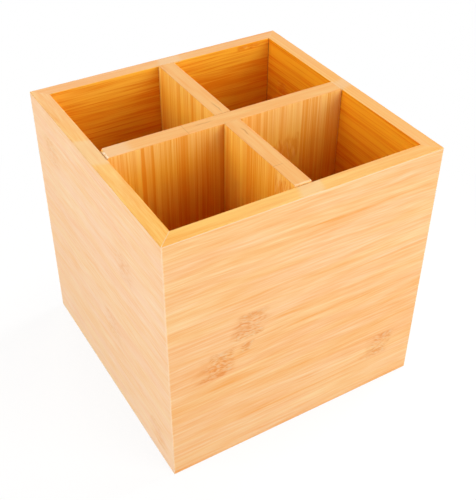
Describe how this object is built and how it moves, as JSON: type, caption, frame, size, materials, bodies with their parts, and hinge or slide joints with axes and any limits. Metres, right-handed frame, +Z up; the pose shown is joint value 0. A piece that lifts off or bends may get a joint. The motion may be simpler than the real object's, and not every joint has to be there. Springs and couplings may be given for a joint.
{
  "type": "cutlery holder",
  "caption": "Square open-topped bamboo box with mitred corners, a base let into a groove, and a drop-in cross of lapped dividers that parts it into upright compartments for cutlery.",
  "frame": {"origin": "middle of the underside, on the surface that the box stands on", "axes": "+Z up out of the open top; the front wall faces -Y and +X points to the right wall seen from the front"},
  "size_m": [0.15, 0.15, 0.149],
  "materials": {
    "wall_bamboo": "satin",
    "base_bamboo": "satin",
    "divider_bamboo": "satin"
  },
  "bodies": {
    "box": {"front_wall": "wall_bamboo", "right_wall": "wall_bamboo", "back_wall": "wall_bamboo", "left_wall": "wall_bamboo", "base_panel": "base_bamboo"},
    "lengthwise": {"lengthwise_divider": "divider_bamboo"},
    "crosswise": {"crosswise_divider": "divider_bamboo"}
  },
  "joints": [
    {"name": "cross_lift", "type": "slide", "parent": "box", "child": "lengthwise", "axis": [0, 0, 1], "range_m": [0, 0.15]},
    {"name": "crosswise_lift", "type": "slide", "parent": "lengthwise", "child": "crosswise", "axis": [0, 0, 1], "range_m": [0, 0.15]}
  ]
}
